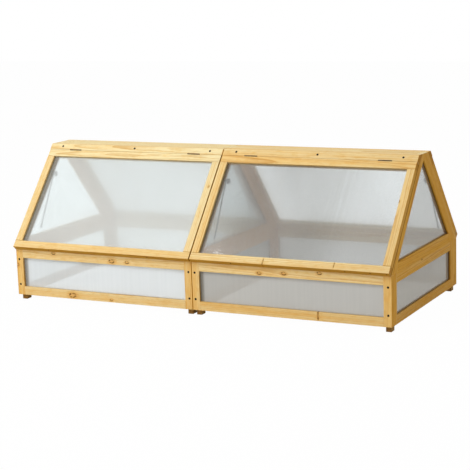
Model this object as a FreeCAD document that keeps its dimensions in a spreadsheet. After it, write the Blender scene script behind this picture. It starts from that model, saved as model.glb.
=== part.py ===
"""Wooden mini greenhouse: two equal modules side by side, each a low box with a steep roof of hinged lids.

Millimetres. +Z is up, +X runs along the width and the front faces -Y.
The origin is the middle of the footprint, on the ground that the feet stand on.
"""
import FreeCAD, Part

import os

import Sketcher

SIZES = {
    # One module. The two stand side by side and touch at X = 0.
    "module_width": 900,
    "box_depth": 820,
    "box_height": 210,
    # The ridge's flat top above the box's top edge, and how wide that flat is.
    "ridge_rise": 436,
    "ridge_flat": 146,
    # The battens of all frames, and the widths of their faces.
    "batten_thick": 25,
    "post_width": 35,
    "rear_stile_width": 58,
    "bottom_rail_width": 38,
    "top_rail_width": 40,
    "gable_rail_width": 40,
    "front_leg_width": 34,
    "rear_leg_width": 58,
    # How high the legs' outer edge stands above the box's corner.
    "leg_toe": 3,
    # The ridge beam and the strip on each side of it.
    "beam_depth": 38,
    "strip_width": 30,
    # Lids: frame, the part that hangs past the box, and the gaps around them.
    "lid_thick": 25,
    "lid_rail_width": 34,
    "lid_stile_width": 35,
    "lid_tail": 6,
    "lid_side_gap": 1.5,
    "lid_hinge_gap": 2.6,
    "lid_seat_gap": 0.3,
    # Twin-wall sheets and the grooves that hold them.
    "sheet_thick": 4,
    "groove_depth": 8,
    "groove_side_gap": 0.3,
    "groove_end_gap": 0.5,
    # Feet.
    "foot_height": 24,
    "foot_width": 24,
    "foot_length": 34,
    "foot_side_inset": 9,
    "foot_front_inset": 18,
    # Butt hinges: from the module's side to the hinge's middle, and the barrel.
    "hinge_from_side": 141,
    "hinge_length": 60,
    "knuckle_diameter": 5,
    "knuckle_gap": 0.4,
    "knuckle_recess": 0.4,
    "barrel_proud": 0.5,
    "leaf_thick": 1,
    "leaf_depth": 22.5,
    "leaf_notch": 0.6,
    "hinge_pin_diameter": 2.5,
    "running_gap": 0.05,
    # Stays: a rod that swings on a bracket on the gable leg, with a round end.
    "stay_pivot_along": 134,
    "stay_pivot_inward": 50,
    "stay_length": 262,
    "stay_diameter": 6,
    "stay_end_diameter": 9,
    "stay_end_length": 18,
    "stay_eye_diameter": 12,
    "stay_eye_width": 7,
    "stay_rest_angle": 11.8,
    "stay_pin_diameter": 5,
    "bracket_diameter": 18,
    "bracket_thick": 2.5,
    "bracket_cap_diameter": 10,
    "bracket_cap_thick": 2,
    "stay_side_gap": 0.3,
    # Countersunk screws in the corner posts and in the ridge strips.
    "screw_head_diameter": 9,
    "screw_head_depth": 3,
    "screw_shank_diameter": 4.5,
    "post_screw_length": 50,
    "post_screw_from_side": 15,
    "post_screw_low": 48,
    "post_screw_high": 163,
    "strip_screw_length": 38,
    "strip_screw_from_side": 65,
    "strip_screw_along": 13,
}
KNUCKLES = 5

document = FreeCAD.newDocument("mini_greenhouse")
sheet = document.addObject("Spreadsheet::Sheet", "P")
for row, (alias, value) in enumerate(SIZES.items(), start=1):
    sheet.set(f"A{row}", alias)
    sheet.set(f"B{row}", str(value))
    sheet.setAlias(f"B{row}", alias)
document.recompute()

# Lengths that follow from the sheet, as expressions.
half_width = "(P.module_width / 2)"
half_depth = "(P.box_depth / 2)"
half_ridge = "(P.ridge_flat / 2)"
half_batten = "(P.batten_thick / 2)"
box_base = "P.foot_height"
box_top = "(P.foot_height + P.box_height)"
ridge_top = f"({box_top} + P.ridge_rise)"
panel_y = f"({half_depth} - {half_batten})"
side_x = f"({half_width} - {half_batten})"
groove_thick = "(P.sheet_thick + 2 * P.groove_side_gap)"
sheet_tuck = "(P.groove_depth - P.groove_end_gap)"

# The slope: the leg's outer edge runs from the box's corner to the ridge, one lid below the roof's face.
leg_depth = "(P.lid_thick + P.lid_seat_gap)"
slope_run = f"({half_depth} - {half_ridge})"
slope_rise = "(P.ridge_rise - P.leg_toe)"
slope_reach = f"sqrt({slope_run} ^ 2 + {slope_rise} ^ 2)"
slope_angle = f"(atan({slope_rise} / {slope_run}) - asin({leg_depth} / {slope_reach}))"
slope_sin = f"sin({slope_angle})"
slope_cos = f"cos({slope_angle})"
slope_tan = f"tan({slope_angle})"
lid_end = f"(sqrt({slope_reach} ^ 2 - {leg_depth} ^ 2) + P.lid_tail)"
lid_start = "(P.strip_width + P.lid_hinge_gap)"
hinge_along = "(P.strip_width + P.lid_hinge_gap / 2)"

MODULES = {"left": f"(-{half_width})", "right": half_width}
SIDES = {"front": "0", "rear": "180"}


def slope_point(along, inward):
    """Y and Z of a point of the front slope, along it from the ridge's edge and inward of its face."""
    y = f"(-{half_ridge} - ({along}) * {slope_cos} + ({inward}) * {slope_sin})"
    z = f"({ridge_top} - ({along}) * {slope_sin} - ({inward}) * {slope_cos})"
    return y, z


def slope_y(inward, z):
    """Y at height z of the line that runs inward below the front slope's face."""
    return f"(-{half_ridge} + ({inward}) / {slope_sin} - ({ridge_top} - ({z})) / {slope_tan})"


def in_slope(module_x, side, x, along, inward, tilt="0 deg"):
    """Placement on a slope: x along the width, y up the slope, z out of it, turned inward by tilt."""
    y, z = slope_point(along, inward)
    if side == "front":
        sign = ""
    else:
        sign = "-"
    base = f"vector({module_x} + {sign}({x}); {sign}({y}); {z})"
    return f"placement({base}; rotation({SIDES[side]}; 0; {slope_angle} + {tilt}))"


def plane_of(body, role):
    """The body's own origin plane with that role."""
    return next(item for item in body.Origin.OriginFeatures if item.Role == role)


def new_body(label, placement=None):
    """An empty body, placed by an expression."""
    body = document.addObject("PartDesign::Body", label)
    body.Label = label
    if placement:
        body.setExpression("Placement", placement)
    return body


def new_sketch(body, role, offset):
    """A sketch on one of the body's origin planes, moved along the plane's normal."""
    sketch = body.newObject("Sketcher::SketchObject", f"{body.Name}_sketch")
    sketch.AttachmentSupport = [(plane_of(body, role), "")]
    sketch.MapMode = "FlatFace"
    sketch.setExpression("AttachmentOffset.Base.z", offset)
    return sketch


def value(expression):
    """The number that an expression has now."""
    return float(sheet.evalExpression(expression))


def bind(sketch, kind, element, vertex, expression):
    """Hold one coordinate of a vertex, measured from the sketch's origin, at an expression."""
    index = sketch.addConstraint(Sketcher.Constraint(kind, -1, 1, element, vertex, 1.0))
    sketch.setExpression(f"Constraints[{index}]", expression)


def add_outline(sketch, points):
    """A closed outline of straight lines through points given as pairs of expressions."""
    first = sketch.GeometryCount
    count = len(points)
    corners = [FreeCAD.Vector(value(x), value(y), 0) for x, y in points]
    for index in range(count):
        sketch.addGeometry(Part.LineSegment(corners[index], corners[(index + 1) % count]), False)
    for index in range(count):
        following = first + (index + 1) % count
        sketch.addConstraint(Sketcher.Constraint("Coincident", first + index, 2, following, 1))
    for index, (x, y) in enumerate(points):
        bind(sketch, "DistanceX", first + index, 1, x)
        bind(sketch, "DistanceY", first + index, 1, y)


def add_circle(sketch, x, y, diameter):
    """A circle whose centre and diameter are expressions."""
    element = sketch.GeometryCount
    centre = FreeCAD.Vector(value(x), value(y), 0)
    radius = value(diameter) / 2
    sketch.addGeometry(Part.Circle(centre, FreeCAD.Vector(0, 0, 1), radius), False)
    bind(sketch, "DistanceX", element, 3, x)
    bind(sketch, "DistanceY", element, 3, y)
    index = sketch.addConstraint(Sketcher.Constraint("Diameter", element, 2 * radius))
    sketch.setExpression(f"Constraints[{index}]", diameter)


def rectangle(x_low, x_high, y_low, y_high):
    """The four corners of a rectangle."""
    return [(x_low, y_low), (x_high, y_low), (x_high, y_high), (x_low, y_high)]


def pad(body, role, offset, outlines, thickness):
    """Material to both sides of a sketch's plane, thickness in all."""
    sketch = new_sketch(body, role, offset)
    for points in outlines:
        add_outline(sketch, points)
    feature = body.newObject("PartDesign::Pad", f"{body.Name}_pad")
    feature.Profile = sketch
    feature.SideType = "Symmetric"
    feature.setExpression("Length", thickness)
    body.Tip = feature
    return feature


def pocket(body, role, offset, outlines, thickness):
    """A cut to both sides of a sketch's plane, thickness in all."""
    sketch = new_sketch(body, role, offset)
    for points in outlines:
        add_outline(sketch, points)
    feature = body.newObject("PartDesign::Pocket", f"{body.Name}_groove")
    feature.Profile = sketch
    feature.SideType = "Symmetric"
    feature.setExpression("Length", thickness)
    body.Tip = feature
    return feature


def mirror_in_x(body, features):
    """The same features once more on the other side of the body's YZ plane."""
    mirrored = body.newObject("PartDesign::Mirrored", f"{body.Name}_mirrored")
    mirrored.Originals = features
    mirrored.MirrorPlane = (plane_of(body, "YZ_Plane"), [""])
    body.Tip = mirrored


def repeat_in_x(body, features, pitch, count):
    """The same features in a row along the body's X axis."""
    row = body.newObject("PartDesign::LinearPattern", f"{body.Name}_row")
    row.Originals = features
    row.Direction = (plane_of(body, "X_Axis"), [""])
    row.Mode = "Spacing"
    row.setExpression("Offset", pitch)
    row.Occurrences = count
    body.Tip = row


def framed(label, placement, role, offset, outlines, opening, thickness, mirrored=False):
    """Battens with the groove of their opening cut into them, on one side or both sides of the module."""
    body = new_body(label, placement)
    features = [
        pad(body, role, offset, outlines, thickness),
        pocket(body, role, offset, [opening], groove_thick),
    ]
    if mirrored:
        mirror_in_x(body, features)
    return body


def panelled(label, placement, role, offset, outline, mirrored=False):
    """A twin-wall sheet, on one side or on both sides of the module."""
    body = new_body(label, placement)
    feature = pad(body, role, offset, [outline], "P.sheet_thick")
    if mirrored:
        mirror_in_x(body, [feature])
    return body


def grown(x_low, x_high, y_low, y_high, margin):
    """The corners of a rectangle made larger by a margin on each side."""
    return rectangle(
        f"({x_low} - {margin})",
        f"({x_high} + {margin})",
        f"({y_low} - {margin})",
        f"({y_high} + {margin})",
    )


def joined(label, items):
    """Several pieces kept as one sub-part."""
    group = document.addObject("Part::Compound", label)
    group.Label = label
    group.Links = items
    return group


def drilled(label, blank, screws):
    """A piece with the room of its screws cut out of it."""
    blank.Label = f"{label}_blank"
    result = document.addObject("Part::Cut", label)
    result.Label = label
    result.Base = blank
    result.Tool = screws
    return result


def placed(source, label, placement):
    """One more copy of a piece, placed by an expression."""
    copy = document.addObject("App::Link", label)
    copy.LinkedObject = source
    copy.setExpression("Placement", placement)
    return copy


nodes = []


def screw(label, length):
    """A countersunk screw along -Z with its head's top at the origin."""
    body = new_body(label)
    sketch = new_sketch(body, "XZ_Plane", "0")
    head = "(P.screw_head_diameter / 2)"
    shank = "(P.screw_shank_diameter / 2)"
    add_outline(sketch, [
        ("0", "0"),
        (head, "0"),
        (shank, "-P.screw_head_depth"),
        (shank, f"-{length}"),
        ("0", f"-{length}"),
    ])
    turned = body.newObject("PartDesign::Revolution", f"{label}_turned")
    turned.Profile = sketch
    turned.ReferenceAxis = (sketch, ["V_Axis"])
    turned.Angle = 360
    body.Tip = turned
    return body


# Corner screws: from the front and the back face through each post into the side frame's stile.
post_screw = screw("post_screw", "P.post_screw_length")
post_screws = []
for module, module_x in MODULES.items():
    for hand in ("-", ""):
        for side, turn in (("-", "90"), ("", "-90")):
            for level in ("P.post_screw_low", "P.post_screw_high"):
                x = f"{module_x} + {hand}({half_width} - P.post_screw_from_side)"
                base = f"vector({x}; {side}{half_depth}; {box_base} + {level})"
                name = f"post_screw_{len(post_screws)}"
                post_screws.append(placed(post_screw, name, f"placement({base}; rotation(0; 0; {turn}))"))
frame_screws = joined("frame_screws", post_screws)

# Ridge screws: through the strips, square to the slope, into the ridge beam.
strip_screw = screw("strip_screw", "P.strip_screw_length")
strip_screws = []
for module, module_x in MODULES.items():
    for side in SIDES:
        reach = f"({half_width} - P.strip_screw_from_side)"
        for x in (f"-{reach}", "0", reach):
            name = f"strip_screw_{len(strip_screws)}"
            where = in_slope(module_x, side, x, "P.strip_screw_along", "0")
            strip_screws.append(placed(strip_screw, name, where))
ridge_screws = joined("ridge_screws", strip_screws)
nodes += [frame_screws, ridge_screws]

# Openings of the three box frames, between the posts or stiles and between the rails.
opening_low = f"({box_base} + P.bottom_rail_width)"
opening_high = f"({box_top} - P.top_rail_width)"
post_in = f"({half_width} - P.post_width)"
stile_front = f"(-{half_depth} + P.batten_thick)"
stile_front_in = f"({stile_front} + P.post_width)"
stile_rear = f"({half_depth} - P.batten_thick)"
stile_rear_in = f"({stile_rear} - P.rear_stile_width)"


def box_panel(module, where, side, plane_offset):
    """Front or back of the box: full-height posts, two rails between them and a sheet in their grooves."""
    opening = (f"(-{post_in})", post_in, opening_low, opening_high)
    groove = grown(*opening, "P.groove_depth")
    posts = [
        rectangle(f"(-{half_width})", f"(-{post_in})", box_base, box_top),
        rectangle(post_in, half_width, box_base, box_top),
    ]
    rails = [
        rectangle(f"(-{post_in})", post_in, box_base, opening_low),
        rectangle(f"(-{post_in})", post_in, opening_high, box_top),
    ]
    label = f"{module}_box_{side}"
    plane = (where, "XZ_Plane", plane_offset)
    blank = framed(f"{label}_posts_solid", *plane, posts, groove, "P.batten_thick")
    return [
        drilled(f"{label}_posts", blank, frame_screws),
        framed(f"{label}_rails", *plane, rails, groove, "P.batten_thick"),
        panelled(f"{label}_sheet", *plane, grown(*opening, sheet_tuck)),
    ]


def box_sides(module, where):
    """Both sides of the box, held between its front and back."""
    opening = (stile_front_in, stile_rear_in, opening_low, opening_high)
    groove = grown(*opening, "P.groove_depth")
    stiles = [
        rectangle(stile_front, stile_front_in, box_base, box_top),
        rectangle(stile_rear_in, stile_rear, box_base, box_top),
    ]
    rails = [
        rectangle(stile_front_in, stile_rear_in, box_base, opening_low),
        rectangle(stile_front_in, stile_rear_in, opening_high, box_top),
    ]
    label = f"{module}_box_side"
    plane = (where, "YZ_Plane", side_x)
    blank = framed(f"{label}_stiles_solid", *plane, stiles, groove, "P.batten_thick", True)
    return [
        drilled(f"{label}_stiles", blank, frame_screws),
        framed(f"{label}_rails", *plane, rails, groove, "P.batten_thick", True),
        panelled(f"{label}_sheets", *plane, grown(*opening, sheet_tuck), True),
    ]


# The gable's opening is a triangle between the legs' inner edges and the rail's top edge.
front_in = f"({leg_depth} + P.front_leg_width)"
rear_in = f"({leg_depth} + P.rear_leg_width)"
rail_top = f"({box_top} + P.gable_rail_width)"


def gable_triangle(margin):
    """The gable's opening made larger by a margin on each side."""
    front = f"({front_in} - {margin})"
    rear = f"({rear_in} - {margin})"
    low = f"({rail_top} - {margin})"
    apex_y = f"(({front} - {rear}) / (2 * {slope_sin}))"
    apex_z = f"({ridge_top} - (({front} + {rear}) / (2 * {slope_sin}) - {half_ridge}) * {slope_tan})"
    return [(slope_y(front, low), low), (f"(-{slope_y(rear, low)})", low), (apex_y, apex_z)]


def gables(module, where):
    """Both gables: legs that meet in an upright mitre under the ridge, a rail between them and a sheet."""
    front_foot, rear_foot, apex = gable_triangle("0")
    groove = gable_triangle("P.groove_depth")
    toe = f"({box_top} + P.leg_toe)"
    front_leg = [
        (f"(-{half_depth})", box_top),
        (f"(-{half_depth})", toe),
        (slope_y(leg_depth, ridge_top), ridge_top),
        (apex[0], ridge_top),
        apex,
        front_foot,
        (front_foot[0], box_top),
    ]
    rear_leg = [
        (half_depth, box_top),
        (rear_foot[0], box_top),
        rear_foot,
        apex,
        (apex[0], ridge_top),
        (f"(-{slope_y(leg_depth, ridge_top)})", ridge_top),
        (half_depth, toe),
    ]
    rail = rectangle(front_foot[0], rear_foot[0], box_top, rail_top)
    label = f"{module}_gable"
    plane = (where, "YZ_Plane", side_x)
    return [
        framed(f"{label}_front_legs", *plane, [front_leg], groove, "P.batten_thick", True),
        framed(f"{label}_rear_legs", *plane, [rear_leg], groove, "P.batten_thick", True),
        framed(f"{label}_rails", *plane, [rail], groove, "P.batten_thick", True),
        panelled(f"{label}_sheets", *plane, gable_triangle(sheet_tuck), True),
    ]


def ridge_beam(module, where):
    """The beam between the gables under the ridge's flat top, its sides sloped like the roof."""
    low = f"({ridge_top} - P.beam_depth)"
    top_y = slope_y("P.lid_thick", ridge_top)
    low_y = slope_y("P.lid_thick", low)
    section = [(low_y, low), (f"(-{low_y})", low), (f"(-{top_y})", ridge_top), (top_y, ridge_top)]
    body = new_body(f"{module}_ridge_beam_solid", where)
    pad(body, "YZ_Plane", "0", [section], "(P.module_width - 2 * P.batten_thick)")
    return drilled(f"{module}_ridge_beam", body, ridge_screws)


def hinge_recesses(body):
    """Round recesses for the two hinge barrels, along the edge at the hinge line."""
    sketch = new_sketch(body, "YZ_Plane", f"({half_width} - P.hinge_from_side)")
    add_circle(sketch, f"(-{hinge_along})", "P.barrel_proud", "(P.knuckle_diameter + 2 * P.knuckle_recess)")
    recess = body.newObject("PartDesign::Pocket", f"{body.Name}_recess")
    recess.Profile = sketch
    recess.SideType = "Symmetric"
    recess.setExpression("Length", "(P.hinge_length + 4 * P.knuckle_recess)")
    mirror_in_x(body, [recess])


def ridge_strips(module, module_x):
    """The fixed strips along the ridge, in the roof's plane, that the lids hang from."""
    strips = []
    for side in SIDES:
        body = new_body(f"{module}_{side}_strip_solid", in_slope(module_x, side, "0", "0", "0"))
        section = [
            ("0", "0"),
            ("(-P.strip_width)", "0"),
            ("(-P.strip_width)", "(-P.lid_thick)"),
            (f"(P.lid_thick / {slope_tan})", "(-P.lid_thick)"),
        ]
        pad(body, "YZ_Plane", "0", [section], "P.module_width")
        hinge_recesses(body)
        strips.append(body)
    return drilled(f"{module}_ridge_strips", joined(f"{module}_strip_pair", strips), ridge_screws)


for module, module_x in MODULES.items():
    where = f"placement(vector({module_x}; 0; 0); rotation(0; 0; 0))"
    nodes += box_panel(module, where, "front", panel_y)
    nodes += box_panel(module, where, "back", f"(-{panel_y})")
    nodes += box_sides(module, where)
    nodes += gables(module, where)
    nodes.append(ridge_beam(module, where))
    nodes.append(ridge_strips(module, module_x))

# Feet: one block under each corner of each module.
foot_blocks = []
for module, module_x in MODULES.items():
    near_x = f"{half_width} - P.foot_side_inset"
    near_y = f"{half_depth} - P.foot_front_inset"
    for x in (f"-({near_x})", f"({near_x}) - P.foot_width"):
        for y in (f"-({near_y})", f"({near_y}) - P.foot_length"):
            foot = document.addObject("Part::Box", f"foot_{len(foot_blocks)}")
            foot.setExpression("Length", "P.foot_width")
            foot.setExpression("Width", "P.foot_length")
            foot.setExpression("Height", "P.foot_height")
            foot.setExpression("Placement.Base.x", f"{module_x} + {x}")
            foot.setExpression("Placement.Base.y", y)
            foot_blocks.append(foot)
nodes.append(joined("feet", foot_blocks))

# One knuckle of a hinge barrel, and the pitch of the knuckles on one leaf.
knuckle_length = f"((P.hinge_length - {KNUCKLES - 1} * P.knuckle_gap) / {KNUCKLES})"
knuckle_step = f"({knuckle_length} + P.knuckle_gap)"


def hinge_half(label, first, count, bore, offset):
    """One leaf with its knuckles: a plate in the gap below the barrel, clear of the other knuckles."""
    body = new_body(label)
    start = f"(({first} - {KNUCKLES // 2}) * {knuckle_step})"
    ring = new_sketch(body, "YZ_Plane", start)
    add_circle(ring, "0", "0", "P.knuckle_diameter")
    add_circle(ring, "0", "0", bore)
    barrel = body.newObject("PartDesign::Pad", f"{label}_knuckle")
    barrel.Profile = ring
    barrel.SideType = "Symmetric"
    barrel.setExpression("Length", knuckle_length)
    body.Tip = barrel
    plate_top = "(-P.knuckle_diameter / 2 - P.leaf_notch)"
    tab_top = "(-(P.knuckle_diameter + P.hinge_pin_diameter) / 4)"
    half_knuckle = f"({knuckle_length} / 2)"
    tab = rectangle(f"({start} - {half_knuckle})", f"({start} + {half_knuckle})", plate_top, tab_top)
    tab_pad = pad(body, "XZ_Plane", f"(-({offset}))", [tab], "P.leaf_thick")
    plate = rectangle("(-P.hinge_length / 2)", "(P.hinge_length / 2)", "(-P.leaf_depth)", plate_top)
    repeat_in_x(body, [barrel, tab_pad], f"(2 * {knuckle_step})", count)
    pad(body, "XZ_Plane", f"(-({offset}))", [plate], "P.leaf_thick")
    return body


leaf_offset = "((P.lid_hinge_gap - P.leaf_thick) / 2)"
moving_bore = "(P.hinge_pin_diameter + 2 * P.running_gap)"
fixed_half = hinge_half("hinge_fixed_half", 0, KNUCKLES // 2 + 1, "P.hinge_pin_diameter", leaf_offset)
moving_half = hinge_half("hinge_moving_half", 1, KNUCKLES // 2, moving_bore, f"(-{leaf_offset})")
hinge_pin = document.addObject("Part::Cylinder", "hinge_pin")
hinge_pin.setExpression("Radius", "P.hinge_pin_diameter / 2")
hinge_pin.setExpression("Height", "P.hinge_length")


def hinge_places(module_x, side, shift="0"):
    """Placements of the two hinges of a lid, on the axis at the middle of the hinge gap."""
    reach = f"({half_width} - P.hinge_from_side)"
    spots = (f"(-{reach} + {shift})", f"({reach} + {shift})")
    return [in_slope(module_x, side, x, hinge_along, "(-P.barrel_proud)") for x in spots]


def lid(module, module_x, side):
    """A lid: full-width rails, stiles between them, a sheet in their grooves and two hinge leaves."""
    where = in_slope(module_x, side, "0", "0", "0")
    label = f"{module}_{side}_lid"
    middle = "(-P.lid_thick / 2)"
    edge = f"({half_width} - P.lid_side_gap)"
    inner = f"({edge} - P.lid_stile_width)"
    top = f"(-{lid_start})"
    top_in = f"({top} - P.lid_rail_width)"
    low = f"(-{lid_end})"
    low_in = f"({low} + P.lid_rail_width)"
    opening = (f"(-{inner})", inner, low_in, top_in)
    groove = grown(*opening, "P.groove_depth")
    top_rail = rectangle(f"(-{edge})", edge, top_in, top)
    bottom_rail = rectangle(f"(-{edge})", edge, low, low_in)
    stiles = [
        rectangle(f"(-{edge})", f"(-{inner})", low_in, top_in),
        rectangle(inner, edge, low_in, top_in),
    ]
    plane = (where, "XY_Plane", middle)
    rail = framed(f"{label}_top_rail", *plane, [top_rail], groove, "P.lid_thick")
    hinge_recesses(rail)
    leaves = []
    for number, place in enumerate(hinge_places(module_x, side)):
        leaves.append(placed(moving_half, f"{label}_leaf_{number}", place))
    return [
        rail,
        framed(f"{label}_bottom_rail", *plane, [bottom_rail], groove, "P.lid_thick"),
        framed(f"{label}_stiles", *plane, stiles, groove, "P.lid_thick"),
        panelled(f"{label}_sheet", *plane, grown(*opening, sheet_tuck)),
        joined(f"{label}_hinge_leaves", leaves),
    ]


# Stays: the bracket is a disc on the gable's inner face with a pin and a cap.
# The rod's eye turns on the pin, and is a little wider than the rod.
eye_start = "(P.bracket_thick + P.stay_side_gap)"
eye_middle = f"({eye_start} + P.stay_eye_width / 2)"
cap_start = f"({eye_start} + P.stay_eye_width + P.stay_side_gap)"


def stay_bracket():
    """The bracket, turned about X with its back at the origin."""
    body = new_body("stay_bracket")
    sketch = new_sketch(body, "XY_Plane", "0")
    disc = "(P.bracket_diameter / 2)"
    pin = "(P.stay_pin_diameter / 2)"
    cap = "(P.bracket_cap_diameter / 2)"
    cap_end = f"({cap_start} + P.bracket_cap_thick)"
    add_outline(sketch, [
        ("0", "0"),
        ("0", disc),
        ("P.bracket_thick", disc),
        ("P.bracket_thick", pin),
        (cap_start, pin),
        (cap_start, cap),
        (cap_end, cap),
        (cap_end, "0"),
    ])
    turned = body.newObject("PartDesign::Revolution", "stay_bracket_turned")
    turned.Profile = sketch
    turned.ReferenceAxis = (sketch, ["H_Axis"])
    turned.Angle = 360
    body.Tip = turned
    return body


def stay_rod(label, placement):
    """A round rod down from its eye at the origin, with a thicker rounded end."""
    body = new_body(label, placement)
    sketch = new_sketch(body, "XY_Plane", "0")
    rod = "(P.stay_diameter / 2)"
    end = "(P.stay_end_diameter / 2)"
    rod_top = "(-(P.stay_eye_diameter + P.stay_pin_diameter) / 4)"
    add_outline(sketch, [
        ("0", rod_top),
        (rod, rod_top),
        (rod, f"(-P.stay_length - {end} + P.stay_end_length)"),
        (end, f"(-P.stay_length - {end} + P.stay_end_length)"),
        (end, "(-P.stay_length)"),
        (f"({end} / 2)", f"(-P.stay_length - {end})"),
        ("0", f"(-P.stay_length - {end})"),
    ])
    turned = body.newObject("PartDesign::Revolution", f"{label}_turned")
    turned.Profile = sketch
    turned.ReferenceAxis = (sketch, ["V_Axis"])
    turned.Angle = 360
    body.Tip = turned
    eye_sketch = new_sketch(body, "YZ_Plane", "0")
    add_circle(eye_sketch, "0", "0", "P.stay_eye_diameter")
    eye = body.newObject("PartDesign::Pad", f"{label}_eye")
    eye.Profile = eye_sketch
    eye.SideType = "Symmetric"
    eye.setExpression("Length", "P.stay_eye_width")
    body.Tip = eye
    bore_sketch = new_sketch(body, "YZ_Plane", "0")
    add_circle(bore_sketch, "0", "0", "(P.stay_pin_diameter + 2 * P.running_gap)")
    bore = body.newObject("PartDesign::Pocket", f"{label}_bore")
    bore.Profile = bore_sketch
    bore.SideType = "Symmetric"
    bore.setExpression("Length", "(2 * P.stay_eye_width)")
    body.Tip = bore
    return body


bracket = stay_bracket()
gable_inner = f"(-{half_width} + P.batten_thick)"
fixed_leaves = []
pins = []
brackets = []
for module, module_x in MODULES.items():
    for side in SIDES:
        nodes += lid(module, module_x, side)
        for place in hinge_places(module_x, side):
            fixed_leaves.append(placed(fixed_half, f"fixed_leaf_{len(fixed_leaves)}", place))
        for place in hinge_places(module_x, side, "(-P.hinge_length / 2)"):
            along_x = f"{place} * placement(vector(0; 0; 0); rotation(0; 90; 0))"
            pins.append(placed(hinge_pin, f"pin_{len(pins)}", along_x))
        pivot = ("P.stay_pivot_along", "P.stay_pivot_inward")
        back = in_slope(module_x, side, gable_inner, *pivot)
        brackets.append(placed(bracket, f"bracket_{len(brackets)}", back))
        eye_x = f"({gable_inner} + {eye_middle})"
        rest = in_slope(module_x, side, eye_x, *pivot, "1 deg * P.stay_rest_angle")
        nodes.append(stay_rod(f"{module}_{side}_stay_rod", rest))
nodes.append(joined("hinge_fixed_leaves", fixed_leaves))
nodes.append(joined("hinge_pins", pins))
nodes.append(joined("stay_brackets", brackets))

document.recompute()
broken = {"Invalid", "Error"}
faults = [f"{item.Label}: {item.State}" for item in document.Objects if broken & set(item.State)]
for node in nodes:
    if node.Shape.isNull() or not node.Shape.isValid():
        faults.append(f"{node.Label}: no valid shape")
if faults:
    raise RuntimeError("; ".join(faults))
os.makedirs("parts", exist_ok=True)
for node in nodes:
    node.Shape.exportStep(f"parts/{node.Label}.step")
    box = node.Shape.BoundBox
    ends = (box.XMin, box.XMax, box.YMin, box.YMax, box.ZMin, box.ZMax)
    span = " ".join(f"{end:.1f}" for end in ends)
    print(f"{node.Label}: {len(node.Shape.Solids)} solids, {node.Shape.Volume / 1000:.1f} cm3, box {span}")
print(f"{len(nodes)} nodes, slope {value(slope_angle):.3f} degrees")
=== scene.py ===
import math

import bmesh
import bpy
import numpy as np
from mathutils import Matrix, Vector


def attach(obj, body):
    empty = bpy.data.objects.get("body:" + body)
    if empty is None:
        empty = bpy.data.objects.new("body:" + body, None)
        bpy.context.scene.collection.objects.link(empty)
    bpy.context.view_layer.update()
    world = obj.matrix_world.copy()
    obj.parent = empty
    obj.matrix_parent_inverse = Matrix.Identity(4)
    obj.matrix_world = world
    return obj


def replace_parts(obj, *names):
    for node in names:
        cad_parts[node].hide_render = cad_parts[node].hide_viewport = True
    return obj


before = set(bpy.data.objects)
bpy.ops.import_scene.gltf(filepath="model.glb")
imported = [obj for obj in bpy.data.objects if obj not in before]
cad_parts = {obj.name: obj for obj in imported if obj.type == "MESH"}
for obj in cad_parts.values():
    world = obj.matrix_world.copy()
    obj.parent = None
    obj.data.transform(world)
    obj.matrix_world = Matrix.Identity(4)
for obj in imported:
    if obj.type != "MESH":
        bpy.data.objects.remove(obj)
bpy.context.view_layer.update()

# Corner posts of the front and back box frames: planed pine, 25 by 35 mm, full height, with a
# groove that takes the edge of the sheet. Every other batten is worked from the same stock.
MODULES = {"left": -0.45, "right": 0.45}
HALF_WIDE, HALF_DEEP = 0.45, 0.41
BOX_LOW, BOX_HIGH = 0.024, 0.234
OPENING_LOW, OPENING_HIGH = 0.062, 0.194
THICK, POST_WIDE = 0.025, 0.035
FACES = {"front": THICK / 2 - HALF_DEEP, "back": HALF_DEEP - THICK / 2}
ARRIS, POST_ROUND = 0.0011, 0.0014
GROOVE_WIDE, GROOVE_DEEP = 0.0046, 0.008
BESIDE_SHEET = 0.0045
# Each edge of an outline has its work: 0 for none, the depth of its groove, or one of these two.
RECESS, SLANTED = -1.0, -2.0
RECESS_RADIUS, RECESS_PROUD, RECESS_SIDE = 0.0029, 0.0005, 0.0005
RECESS_RINGS = [0.0014, 0.0018, 0.0021, 0.00235, 0.0024]
RIDGE_TOP, RIDGE_HALF, LEG_TOE, LEG_FACE = 0.670, 0.073, 0.237, 0.0253
# The roof's plane starts at the ridge's edge. The legs' toes lie a leg's face below it.
ROOF_RISE, ROOF_RUN = RIDGE_TOP - LEG_TOE, HALF_DEEP - RIDGE_HALF
SLOPE = math.atan2(ROOF_RISE, ROOF_RUN) - math.asin(LEG_FACE / math.hypot(ROOF_RUN, ROOF_RISE))
X, Y, Z = np.eye(3)
NO_KNOT = (-9.0, -9.0, 0.001)
log = np.random.default_rng(23)


def headings(points):
    """Unit direction of each edge of an outline; one of no length stands square to the last."""
    span = np.roll(points, -1, axis=0) - points
    before = np.roll(span, 1, axis=0)
    square = np.stack([-before[:, 1], before[:, 0]], axis=1)
    span = np.where(np.hypot(*span.T)[:, None] < 1e-9, square, span)
    return span / np.hypot(*span.T)[:, None]


def crossings(points, moved):
    """Corners of an outline whose edges have each moved inwards by their own amount.

    An edge's line passes its old start plus its inward normal times its amount. A corner is
    where the line of one edge meets the line of the edge before it.
    """
    heading = headings(points)
    inward = np.stack([-heading[:, 1], heading[:, 0]], axis=1)
    start = points + inward * moved[..., None]
    before = np.roll(start, 1, axis=-2)
    earlier = np.roll(heading, 1, axis=0)
    turn = earlier[:, 0] * heading[:, 1] - earlier[:, 1] * heading[:, 0]
    gap = start - before
    reach = (gap[..., 0] * heading[:, 1] - gap[..., 1] * heading[:, 0]) / turn
    return before + earlier * reach[..., None]


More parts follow.
